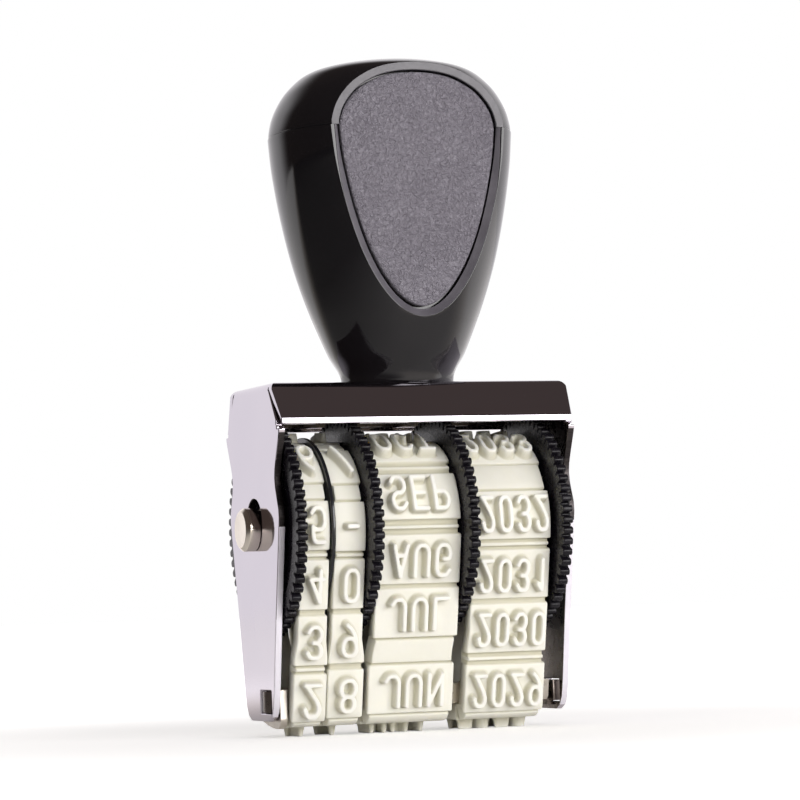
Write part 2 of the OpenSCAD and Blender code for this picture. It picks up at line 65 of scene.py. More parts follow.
# --------------------------------------------------------------------------
# materials
# --------------------------------------------------------------------------
class Mat:
    """A node material with a Principled shader and a few short helpers."""

    def __init__(self, name, base, rough=0.5, metal=0.0, **sockets):
        self.m = bpy.data.materials.new(name)
        self.m.use_nodes = True
        self.nt = self.m.node_tree
        self.b = next(n for n in self.nt.nodes if n.type == "BSDF_PRINCIPLED")
        self.b.inputs["Base Color"].default_value = (*base, 1)
        self.b.inputs["Roughness"].default_value = rough
        self.b.inputs["Metallic"].default_value = metal
        for k, v in sockets.items():
            self.b.inputs[k.replace("_", " ")].default_value = v
        self.co = self.nt.nodes.new("ShaderNodeTexCoord").outputs["Object"]

    def node(self, kind, **props):
        n = self.nt.nodes.new(kind)
        for k, v in props.items():
            setattr(n, k, v)
        return n

    def link(self, a, b):
        self.nt.links.new(a, b)

    def scaled(self, sx=1.0, sy=1.0, sz=1.0, rot=(0, 0, 0)):
        n = self.node("ShaderNodeMapping")
        n.inputs["Scale"].default_value = (sx, sy, sz)
        n.inputs["Rotation"].default_value = rot
        self.link(self.co, n.inputs["Vector"])
        return n.outputs["Vector"]

    def noise(self, scale, detail=3.0, rough=0.5, vec=None, distortion=0.0):
        n = self.node("ShaderNodeTexNoise")
        n.inputs["Scale"].default_value = scale
        n.inputs["Detail"].default_value = detail
        n.inputs["Roughness"].default_value = rough
        n.inputs["Distortion"].default_value = distortion
        self.link(vec or self.co, n.inputs["Vector"])
        return n.outputs["Fac"]

    def voronoi(self, scale, vec=None, feature="F1"):
        n = self.node("ShaderNodeTexVoronoi", feature=feature)
        n.inputs["Scale"].default_value = scale
        self.link(vec or self.co, n.inputs["Vector"])
        return n.outputs["Distance"]

    def attr(self, name):
        return self.node("ShaderNodeAttribute", attribute_name=name).outputs["Fac"]

    def remap(self, src, a, b, lo, hi, smooth=False):
        n = self.node("ShaderNodeMapRange")
        n.interpolation_type = "SMOOTHSTEP" if smooth else "LINEAR"
        for k, v in zip(("From Min", "From Max", "To Min", "To Max"), (a, b, lo, hi)):
            n.inputs[k].default_value = v
        self.link(src, n.inputs["Value"])
        return n.outputs["Result"]

    def mix(self, fac, c1, c2):
        n = self.node("ShaderNodeMix", data_type="RGBA")
        if isinstance(fac, float):
            n.inputs[0].default_value = fac
        else:
            self.link(fac, n.inputs[0])
        for i, c in ((6, c1), (7, c2)):
            if isinstance(c, tuple):
                n.inputs[i].default_value = (*c, 1)
            else:
                self.link(c, n.inputs[i])
        return n.outputs[2]

    def math(self, op, a, b=None):
        n = self.node("ShaderNodeMath", operation=op)
        for i, v in enumerate((a, b)):
            if v is None:
                continue
            if isinstance(v, (int, float)):
                n.inputs[i].default_value = v
            else:
                self.link(v, n.inputs[i])
        return n.outputs[0]

    def color(self, out):
        self.link(out, self.b.inputs["Base Color"])

    def rough(self, out):
        self.link(out, self.b.inputs["Roughness"])

    def bump(self, *layers):
        """layers of (height, strength, distance in metres)"""
        prev = None
        for height, strength, dist in layers:
            n = self.node("ShaderNodeBump")
            n.inputs["Strength"].default_value = strength
            n.inputs["Distance"].default_value = dist
            self.link(height, n.inputs["Height"])
            if prev:
                self.link(prev, n.inputs["Normal"])
            prev = n.outputs["Normal"]
        self.link(prev, self.b.inputs["Normal"])


def chrome():
    m = Mat("bright_chrome", (0.57, 0.54, 0.59), 0.05, 1.0)
    big = m.noise(90, 2.0)
    m.color(m.mix(m.remap(big, 0.3, 0.7, 0, 1), (0.605, 0.567, 0.632), (0.63, 0.59, 0.65)))
    hair = m.noise(900, 2.0, 0.6, m.scaled(1, 1, 14))
    m.rough(m.remap(hair, 0.35, 0.75, 0.03, 0.085))
    m.bump((m.noise(45, 1.0), 0.05, 0.0006), (hair, 0.03, 0.00003))
    return m.m


def shaded_inner_chrome():
    # A darker, rougher copy of the chrome: painted shade for faces that lie in shadow inside and under the frame and
    # saddle.
    m = Mat("rough_painted_shade_plate", (0.16, 0.135, 0.12), 0.28, 1.0)
    g = m.noise(700, 4.0, 0.6)
    m.rough(m.remap(g, 0.3, 0.7, 0.2, 0.36))
    m.color(m.mix(m.remap(m.noise(120, 3.0), 0.3, 0.7, 0, 1), (0.13, 0.11, 0.10), (0.20, 0.17, 0.15)))
    m.bump((g, 0.08, 0.00004))
    return m.m


def shaded_edge_chrome():
    # Near-black copy of the sheet metal: painted shade for the cheeks' cut edges between 22 and 33.7 mm high.
    m = Mat("painted_shade_sheet_edge", (0.05, 0.045, 0.045), 0.35, 1.0)
    g = m.noise(900, 4.0, 0.6, m.scaled(1, 1, 8))
    m.rough(m.remap(g, 0.3, 0.7, 0.28, 0.45))
    m.color(m.mix(m.remap(g, 0.35, 0.7, 0, 1), (0.04, 0.036, 0.037), (0.075, 0.066, 0.064)))
    m.bump((g, 0.15, 0.00004))
    return m.m


def painted_highlight_edge():
    """Cut edge of the plated sheet low on the cheeks, made pale and brighter than the chrome as a painted highlight.
    """
    m = Mat("painted_highlight_cut_edge", (0.86, 0.83, 0.91), 0.42, 0.45)
    fine = m.noise(520, 3, 0.6)
    long = m.noise(90, 2, 0.5, vec=m.scaled(1, 1, 0.15))
    m.color(m.mix(long, (0.83, 0.80, 0.88), (0.90, 0.87, 0.94)))
    m.rough(m.remap(fine, 0.3, 0.7, 0.36, 0.50))
    m.bump((fine, 0.08, 0.00002))
    return m.m


def nickel():
    m = Mat("turned_nickel", (0.72, 0.65, 0.56), 0.2, 1.0)
    rings = m.noise(2600, 2.0, 0.5, m.scaled(1, 0.03, 0.03))
    m.rough(m.remap(rings, 0.3, 0.7, 0.12, 0.26))
    m.bump((rings, 0.12, 0.00003), (m.noise(300, 3.0), 0.05, 0.00005))
    m.color(m.mix(m.remap(m.noise(250, 3.0), 0.35, 0.7, 0, 1), (0.90, 0.83, 0.73), (0.78, 0.71, 0.62)))
    return m.m


def zinc():
    m = Mat("zinc_plate", (0.66, 0.67, 0.70), 0.3, 1.0)
    g = m.voronoi(900)
    m.rough(m.remap(g, 0.0, 0.8, 0.22, 0.42))
    m.color(m.mix(m.remap(m.noise(350, 4.0), 0.3, 0.7, 0, 1), (0.62, 0.57, 0.50), (0.72, 0.67, 0.60)))
    m.bump((m.noise(1200, 3.0), 0.1, 0.00004))
    return m.m


def brass():
    m = Mat("turned_brass", (0.78, 0.58, 0.27), 0.28, 1.0)
    m.rough(m.remap(m.noise(1500, 3.0, 0.5, m.scaled(0.05, 0.05, 1)), 0.3, 0.7, 0.2, 0.38))
    m.color(m.mix(m.remap(m.noise(300, 3.0), 0.3, 0.7, 0, 1), (0.80, 0.60, 0.28), (0.66, 0.46, 0.20)))
    return m.m


def wheel_plastic():
    m = Mat("satin_black_plastic", (0.012, 0.011, 0.014), 0.34)
    m.b.inputs["Specular IOR Level"].default_value = 0.27
    fine = m.noise(2200, 3.0, 0.6)
    m.rough(m.remap(fine, 0.3, 0.7, 0.22, 0.36))
    m.color(m.mix(m.remap(m.noise(400, 4.0), 0.35, 0.75, 0, 1), (0.005, 0.004, 0.006), (0.010, 0.009, 0.013)))
    m.bump((fine, 0.06, 0.00002))
    return m.m


def disc_plastic():
    m = Mat("gloss_black_disc", (0.012, 0.012, 0.015), 0.16)
    m.rough(m.remap(m.noise(1500, 2.0), 0.3, 0.7, 0.12, 0.22))
    m.bump((m.noise(700, 2.0), 0.05, 0.00003))
    return m.m


def handle_gloss():
    m = Mat("polished_black_plastic", (0.006, 0.0055, 0.007), 0.07)
    m.b.inputs["IOR"].default_value = 1.52
    smear = m.noise(120, 4.0, 0.6)
    m.rough(m.remap(smear, 0.35, 0.75, 0.05, 0.12))
    m.color(m.mix(m.remap(m.noise(60, 2.0), 0.3, 0.7, 0, 1), (0.005, 0.0045, 0.006), (0.009, 0.008, 0.0095)))
    m.bump((m.noise(70, 1.0), 0.03, 0.0003))
    return m.m


def rim_satin():
    m = Mat("satin_rim_plastic", (0.08, 0.076, 0.088), 0.30)
    g = m.noise(3500, 3.0, 0.6)
    m.rough(m.remap(g, 0.3, 0.7, 0.3, 0.4))
    m.color(m.mix(m.remap(m.noise(500, 3.0), 0.35, 0.7, 0, 1), (0.075, 0.071, 0.083), (0.10, 0.096, 0.108)))
    m.bump((g, 0.1, 0.00003))
    return m.m


def panel_grain():
    m = Mat("grained_grey_panel", (0.12, 0.115, 0.135), 0.42)
    warp = m.noise(300, 2.0)
    cells = m.voronoi(1900, None, "SMOOTH_F1")
    fold = m.noise(2500, 2.0, 0.5, None, 1.4)
    fine = m.noise(4200, 2.0, 0.5)
    peb = m.math("ADD", m.math("MULTIPLY", cells, 0.6), m.math("MULTIPLY", fold, 1.5))
    shade = m.remap(m.math("ADD", m.math("MULTIPLY", fold, 0.75), m.math("MULTIPLY", warp, 0.25)), 0.38, 0.62, 0, 1)
    m.color(m.mix(shade, (0.150, 0.139, 0.167), (0.205, 0.193, 0.226)))
    m.rough(m.remap(fold, 0.35, 0.7, 0.46, 0.34))
    m.bump((peb, 1.0, 0.00025), (fine, 0.2, 0.00003))
    return m.m


def rim_wall():
    m = Mat("satin_recess_plastic", (0.10, 0.095, 0.11), 0.32)
    g = m.noise(3200, 3.0, 0.6)
    m.rough(m.remap(g, 0.3, 0.7, 0.28, 0.38))
    m.color(m.mix(m.remap(m.noise(450, 3.0), 0.35, 0.7, 0, 1), (0.095, 0.089, 0.104), (0.125, 0.118, 0.135)))
    m.bump((g, 0.1, 0.00003))
    return m.m


def rubber():
    m = Mat("cream_rubber", (0.84, 0.83, 0.74), 0.55)
    m.b.inputs["Subsurface Weight"].default_value = 0.12
    m.b.inputs["Subsurface Radius"].default_value = (1.0, 0.9, 0.55)
    m.b.inputs["Subsurface Scale"].default_value = 0.0006
    m.b.inputs["Specular IOR Level"].default_value = 0.35
    deep = m.attr("deep")      # 1 in grooves and at the feet of the characters; it darkens the rubber there as painted shade
    top = m.attr("top")        # 1 on the printing faces of the characters; it lightens them as a painted highlight
    mott = m.noise(260, 4.0, 0.6)
    fine = m.noise(2600, 3.0, 0.6)
    body = m.mix(m.remap(mott, 0.3, 0.75, 0, 1), (0.83, 0.82, 0.735), (0.88, 0.87, 0.79))
    # Painted highlight on the characters' printing faces, then painted shade in the grooves, at the characters' feet
    # and on the band's inner side.
    body = m.mix(m.remap(top, 0.0, 1.0, 0.0, 0.75), body, (0.91, 0.905, 0.85))
    body = m.mix(m.remap(deep, 0.0, 1.0, 0.0, 0.8), body, (0.54, 0.515, 0.375))
    m.color(body)
    m.rough(m.remap(fine, 0.3, 0.7, 0.48, 0.66))
    m.bump((fine, 0.16, 0.00004), (mott, 0.1, 0.0002))
    return m.m


# inner and edge_shade are dark painted-shade copies of the chrome; edge is its pale painted-highlight copy.
M = {
    "inner": shaded_inner_chrome(), "edge_shade": shaded_edge_chrome(), "edge": painted_highlight_edge(), "chrome": chrome(), "nickel": nickel(), "zinc": zinc(), "brass": brass(),
    "wheel": wheel_plastic(), "disc": disc_plastic(), "gloss": handle_gloss(),
    "rim": rim_satin(), "rimwall": rim_wall(), "panel": panel_grain(), "rubber": rubber(),
}


# --------------------------------------------------------------------------
# mesh helpers
# --------------------------------------------------------------------------
def new_object(name, verts, faces, mats, face_mats=None, smooth=True):
    me = bpy.data.meshes.new(name)
    me.from_pydata([tuple(float(c) * MM for c in v) for v in verts], [], faces)
    for m in mats:
        me.materials.append(M[m])
    if face_mats is not None:
        me.polygons.foreach_set("material_index", np.array(face_mats, np.int32))
    me.polygons.foreach_set("use_smooth", np.full(len(me.polygons), smooth))
    me.update()
    ob = bpy.data.objects.new(name, me)
    SCENE.collection.objects.link(ob)
    return ob


def tidy(ob, dist=0.002, sharp=35):
    bm = bmesh.new()
    bm.from_mesh(ob.data)
    bmesh.ops.remove_doubles(bm, verts=bm.verts, dist=dist * MM)
    bmesh.ops.dissolve_degenerate(bm, dist=0.0005 * MM, edges=bm.edges)
    bmesh.ops.recalc_face_normals(bm, faces=bm.faces)
    bm.to_mesh(ob.data)
    bm.free()
    if sharp:
        ob.data.set_sharp_from_angle(angle=math.radians(sharp))
    return ob


def bevelled(ob, width, segments=2, angle=30, weighted=True):
    b = ob.modifiers.new("edge_round", "BEVEL")
    b.width = width * MM
    b.segments = segments
    b.limit_method = "ANGLE"
    b.angle_limit = math.radians(angle)
    b.miter_outer = "MITER_ARC"
    b.use_clamp_overlap = True
    if weighted:
        w = ob.modifiers.new("even_normals", "WEIGHTED_NORMAL")
        w.keep_sharp = False
        w.weight = 90
    return ob


def detailed_copy(node, name, mat, body, bevel, segments=2, angle=30, flat=0.6):
    """The CAD node's shape with its flat faces made whole again and its edges rounded."""
    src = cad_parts[node]
    me = src.data.copy()
    me.name = name
    me.materials.clear()
    me.materials.append(M[mat])
    ob = bpy.data.objects.new(name, me)
    SCENE.collection.objects.link(ob)
    bm = bmesh.new()
    bm.from_mesh(me)
    bmesh.ops.remove_doubles(bm, verts=bm.verts, dist=0.0005 * MM)
    bmesh.ops.dissolve_limit(bm, angle_limit=math.radians(flat), verts=bm.verts, edges=bm.edges, delimit=set())
    bmesh.ops.recalc_face_normals(bm, faces=bm.faces)
    for f in bm.faces:
        f.smooth = True
    bm.to_mesh(me)
    bm.free()
    for a in ("custom_normal",):
        if a in me.attributes:
            me.attributes.remove(me.attributes[a])
    me.set_sharp_from_angle(angle=math.radians(angle))
    if bevel:
        bevelled(ob, bevel, segments, angle)
    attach(ob, body)
    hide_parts(node)
    return ob


# --------------------------------------------------------------------------
# metal parts, wheels and fixings
# --------------------------------------------------------------------------
shell = detailed_copy("frame", "chromed_frame", "chrome", "stamp", 0, 3, 28)
me = shell.data
me.materials.append(M["inner"])
me.materials.append(M["edge_shade"])
me.materials.append(M["edge"])
weight = me.attributes.new("bevel_weight_edge", "FLOAT", "EDGE")
bm = bmesh.new()
bm.from_mesh(me)
lay = bm.edges.layers.float["bevel_weight_edge"]


for e in bm.edges:
    if len(e.link_faces) != 2 or e.calc_face_angle(0) < math.radians(26):
        continue
    notch = all(abs(v.co.x) / MM > 16.9 and 38.4 < v.co.z / MM < 39.2 for v in e.verts)
    if not notch and e.calc_length() > 0.25 * MM:
        e[lay] = 1.0
# Painted light on the frame: inner cheek faces and the top plate's underside (slot 1) and the cheeks' cut edges
# between 22 and 33.7 mm (slot 2) get dark painted shade; the cut edges lower down (slot 3) get a pale painted
# highlight.
for f in bm.faces:
    c, n = f.calc_center_median() / MM, f.normal
    inside = abs(abs(c.x) - 17.0) < 0.03 and n.x * c.x < 0 and abs(n.x) > 0.9
    under = n.z < -0.3 and abs(c.x) < 17.0 and c.z > 34.9
    cut_edge = abs(c.x) > 17.0 and abs(n.x) < 0.3 and 22.0 < c.z < 33.7
    if inside or under:
        f.material_index = 1
    elif cut_edge:
        f.material_index = 2
    elif abs(c.x) > 17.0 and abs(n.x) < 0.3 and abs(n.y) > 0.7 and c.z <= 22.0:
        f.material_index = 3
bm.to_mesh(me)
bm.free()
bw = shell.modifiers.new("edge_round", "BEVEL")
bw.width = 0.13 * MM
bw.segments = 3
bw.limit_method = "WEIGHT"
bw.use_clamp_overlap = False
bw.miter_outer = "MITER_ARC"
bw.harden_normals = True
saddle = detailed_copy("saddle", "chromed_saddle", "chrome", "stamp", 0.10, 2, 28)
saddle.data.materials.append(M["zinc"])
saddle.data.materials.append(M["inner"])
# Painted shade: the saddle's right end plate and its tabs take the dark shade-painted plate; the rest, left end
# included, is zinc.
for f in saddle.data.polygons:
    c = f.center / MM
    if c.x > 15.9 or c.x < -16.95:
        f.material_index = 2
    else:
        f.material_index = 1
detailed_copy("axle", "wheel_axle", "nickel", "stamp", 0.06, 2, 25)
detailed_copy("axle_spacer", "axle_spacer_ring", "wheel", "stamp", 0.08, 2)
detailed_copy("handle_screw", "handle_fixing_screw", "zinc", "stamp", 0.06, 2, 40)
detailed_copy("screw_washer", "handle_washer", "zinc", "stamp", 0.06, 2)
detailed_copy("thread_insert", "brass_insert", "brass", "stamp", 0.06, 2)
for who in ("tens", "units", "month", "year"):
    detailed_copy("wheel_" + who, "thumb_wheel_" + who, "wheel", who + "_wheel", 0.10, 2, 24)
detailed_copy("separator_disc", "separator_ring", "disc", "separator", 0.08, 2)

# --------------------------------------------------------------------------
# date bands
# --------------------------------------------------------------------------
AXLE_Z, PAD_R, BAND_T, RELIEF = 23.35, 9.7, 1.85, 1.1
FACE_Y, CORNER_R, PAD_L, CHAR_H, STROKE = 5.6, 2.0, 5.6, 4.0, 0.52
_dz, _dy = AXLE_Z - RELIEF - CORNER_R, FACE_Y - CORNER_R
_dd = math.hypot(_dy, _dz)
TURN = math.radians(270) - (math.atan2(_dz, _dy) + math.acos((CORNER_R - PAD_R) / _dd))
S1 = _dy
S2 = S1 + CORNER_R * TURN
S3 = S2 + math.sqrt(_dd**2 - (PAD_R - CORNER_R) ** 2)
S4 = S3 + PAD_R * (math.pi - TURN)
LOOP = 2 * S4


def loop_pt(s, off):
    """Point (y, z) at distance s along a band's pad face, off outside it."""
    s = np.mod(np.asarray(s, float), LOOP)
    off = np.broadcast_to(np.asarray(off, float), s.shape)
    rear = s > S4
    t = np.where(rear, LOOP - s, s)
    y, z = -t, RELIEF - off
    a = np.clip((t - S1) / CORNER_R, 0, TURN)
    cy, cz = -_dy - (CORNER_R + off) * np.sin(a), RELIEF + CORNER_R - (CORNER_R + off) * np.cos(a)
    b = np.clip(TURN + (t - S3) / PAD_R, TURN, math.pi)
    wy, wz = -(PAD_R + off) * np.sin(b), AXLE_Z - (PAD_R + off) * np.cos(b)
    k = np.clip((t - S2) / (S3 - S2), 0, 1)
    ey, ez = -_dy - (CORNER_R + off) * math.sin(TURN), RELIEF + CORNER_R - (CORNER_R + off) * math.cos(TURN)
    gy, gz = -(PAD_R + off) * math.sin(TURN), AXLE_Z - (PAD_R + off) * math.cos(TURN)
    y = np.where(t <= S1, y, np.where(t <= S2, cy, np.where(t <= S3, ey + k * (gy - ey), wy)))
    z = np.where(t <= S1, z, np.where(t <= S2, cz, np.where(t <= S3, ez + k * (gz - ez), wz)))
    return np.where(rear, -y, y), z


# characters as stroked lines on a 4 by 6 grid: (closed, points)
GLYPHS = {
    "0": [(1, [(1, 0), (3, 0), (4, 1), (4, 5), (3, 6), (1, 6), (0, 5), (0, 1)])],
    "1": [(0, [(1, 4.7), (2.5, 6), (2.5, 0)])],
    "2": [(0, [(0, 4.6), (0.3, 5.4), (1.1, 6), (2.9, 6), (3.8, 5.3), (3.9, 4.3), (3.3, 3.2), (0.3, 0)]), (0, [(0.1, 0), (4, 0)])],
    "3": [(0, [(0, 5), (0.9, 6), (3, 6), (3.9, 5.2), (3.9, 4), (3, 3.1), (1.6, 3.1)]), (0, [(2.8, 3.1), (4, 2.1), (4, 0.9), (3, 0), (1, 0), (0, 1)])],
    "4": [(0, [(3, 0), (3, 6)]), (0, [(3, 6), (0.1, 1.7)]), (0, [(0, 1.6), (4, 1.6)])],
    "5": [(0, [(3.8, 6), (0.4, 6), (0.2, 3.3)]), (0, [(0.3, 3.4), (1.2, 3.8), (3, 3.8), (4, 2.9), (4, 1), (3, 0), (1, 0), (0, 0.9)])],
    "6": [(1, [(1, 0), (3, 0), (4, 1), (4, 2.4), (3, 3.4), (1, 3.4), (0, 2.4), (0, 1)]), (0, [(0, 2), (0.2, 3.6), (1.2, 5), (2.8, 6)])],
    "7": [(0, [(0, 6), (4, 6)]), (0, [(3.9, 6), (1.4, 0)])],
    "8": [(1, [(1.1, 3.2), (0.3, 4), (0.3, 5.2), (1.1, 6), (2.9, 6), (3.7, 5.2), (3.7, 4), (2.9, 3.2)]),
          (1, [(1, 0), (3, 0), (4, 0.9), (4, 2.3), (3, 3.2), (1, 3.2), (0, 2.3), (0, 0.9)])],
    "9": [(1, [(3, 6), (1, 6), (0, 5), (0, 3.6), (1, 2.6), (3, 2.6), (4, 3.6), (4, 5)]), (0, [(4, 4), (3.8, 2.4), (2.8, 1), (1.2, 0)])],
    "A": [(0, [(0, 0), (2, 6)]), (0, [(2, 6), (4, 0)]), (0, [(0.7, 1.9), (3.3, 1.9)])],
    "B": [(0, [(0, 0), (0, 6)]), (0, [(0, 6), (2.8, 6), (3.7, 5.2), (3.7, 4), (2.8, 3.1), (0, 3.1)]), (0, [(2.6, 3.1), (4, 2.2), (4, 0.9), (3, 0), (0, 0)])],
    "C": [(0, [(4, 1.1), (3, 0), (1, 0), (0, 1), (0, 5), (1, 6), (3, 6), (4, 4.9)])],
    "D": [(1, [(0, 0), (2.7, 0), (4, 1.2), (4, 4.8), (2.7, 6), (0, 6)])],
    "E": [(0, [(4, 6), (0, 6), (0, 0), (4, 0)]), (0, [(0, 3.1), (3.3, 3.1)])],
    "F": [(0, [(4, 6), (0, 6), (0, 0)]), (0, [(0, 3.1), (3.3, 3.1)])],
    "G": [(0, [(4, 5), (3, 6), (1, 6), (0, 5), (0, 1), (1, 0), (3, 0), (4, 1), (4, 2.8), (2.3, 2.8)])],
    "J": [(0, [(4, 6), (4, 1), (3, 0), (1, 0), (0, 1)])],
    "L": [(0, [(0, 6), (0, 0), (4, 0)])],
    "M": [(0, [(0, 0), (0, 6)]), (0, [(0.1, 5.8), (2, 2.4)]), (0, [(2, 2.4), (3.9, 5.8)]), (0, [(4, 6), (4, 0)])],
    "N": [(0, [(0, 0), (0, 6)]), (0, [(0.1, 5.8), (3.9, 0.2)]), (0, [(4, 0), (4, 6)])],
    "P": [(0, [(0, 0), (0, 6)]), (0, [(0, 6), (3, 6), (4, 5.1), (4, 3.8), (3, 2.9), (0, 2.9)])],
    "R": [(0, [(0, 0), (0, 6)]), (0, [(0, 6), (3, 6), (4, 5.1), (4, 3.8), (3, 2.9), (0, 2.9)]), (0, [(2, 2.9), (3.9, 0)])],
    "S": [(0, [(0, 1), (1, 0), (3, 0), (4, 1), (4, 2.2), (3, 3.1), (1, 3.1), (0, 4), (0, 5), (1, 6), (3, 6), (4, 5)])],
    "T": [(0, [(0, 6), (4, 6)]), (0, [(2, 0), (2, 6)])],
    "U": [(0, [(0, 6), (0, 1), (1, 0), (3, 0), (4, 1), (4, 6)])],
    "V": [(0, [(0, 6), (1.9, 0)]), (0, [(2.1, 0), (4, 6)])],
    "Y": [(0, [(0, 6), (2, 3)]), (0, [(2, 3), (4, 6)]), (0, [(2, 3.2), (2, 0)])],
    "-": [(0, [(0.6, 3), (3.4, 3)])],
    "/": [(0, [(0.1, 0), (3.9, 6)])],
}
GLYPHS["O"] = GLYPHS["0"]
SQUARE = set("EFLTAVMNY147")


def rounded(points, closed, cut):
    """The line with its corners turned into short curves."""
    p = [np.array(q, float) for q in points]
    n = len(p)
    out = []
    for i in range(n):
        if not closed and i in (0, n - 1):
            out.append(p[i])
            continue
        a, b = p[(i - 1) % n], p[(i + 1) % n]
        la, lb = np.linalg.norm(a - p[i]), np.linalg.norm(b - p[i])
        c = min(cut, 0.5 * la, 0.5 * lb)
        q0, q1 = p[i] + (a - p[i]) * c / la, p[i] + (b - p[i]) * c / lb
        for t in np.linspace(0, 1, 6):
            out.append((1 - t) ** 2 * q0 + 2 * t * (1 - t) * p[i] + t * t * q1)
    if closed:
        out.append(out[0])
    return out


def stroke_distance(ch, u, v, w):
    """Distance in mm of the points (u, v) from character ch's centre lines; w is its width."""
    sx, sy = (w - STROKE) / 4, (CHAR_H - STROKE) / 6
    best = np.full(u.shape, 9.0)
    for closed, pts in GLYPHS[ch]:
        line = rounded(pts, closed, 0.12 if ch in SQUARE else 1.3)
        q = [np.array(((x - 2) * sx, (y - 3) * sy)) for x, y in line]
        for a, b in zip(q, q[1:]):
            d = b - a
            L = float(d @ d)
            if L < 1e-9:
                continue
            t = np.clip(((u - a[0]) * d[0] + (v - a[1]) * d[1]) / L, 0, 1)
            best = np.minimum(best, np.hypot(u - a[0] - t * d[0], v - a[1] - t * d[1]))
    return best


def smooth(x):
    x = np.clip(x, 0, 1)
    return x * x * (3 - 2 * x)


def ticks(spans):
    """Sorted coordinates from (start, end, step) spans that follow on from each other."""
    out = []
    for a, b, step in spans:
        if b - a < 1e-6:
            continue
        n = max(1, int(round((b - a) / step)))
        out += list(a + (b - a) * np.arange(n) / n)
    return np.array(out + [spans[-1][1]])


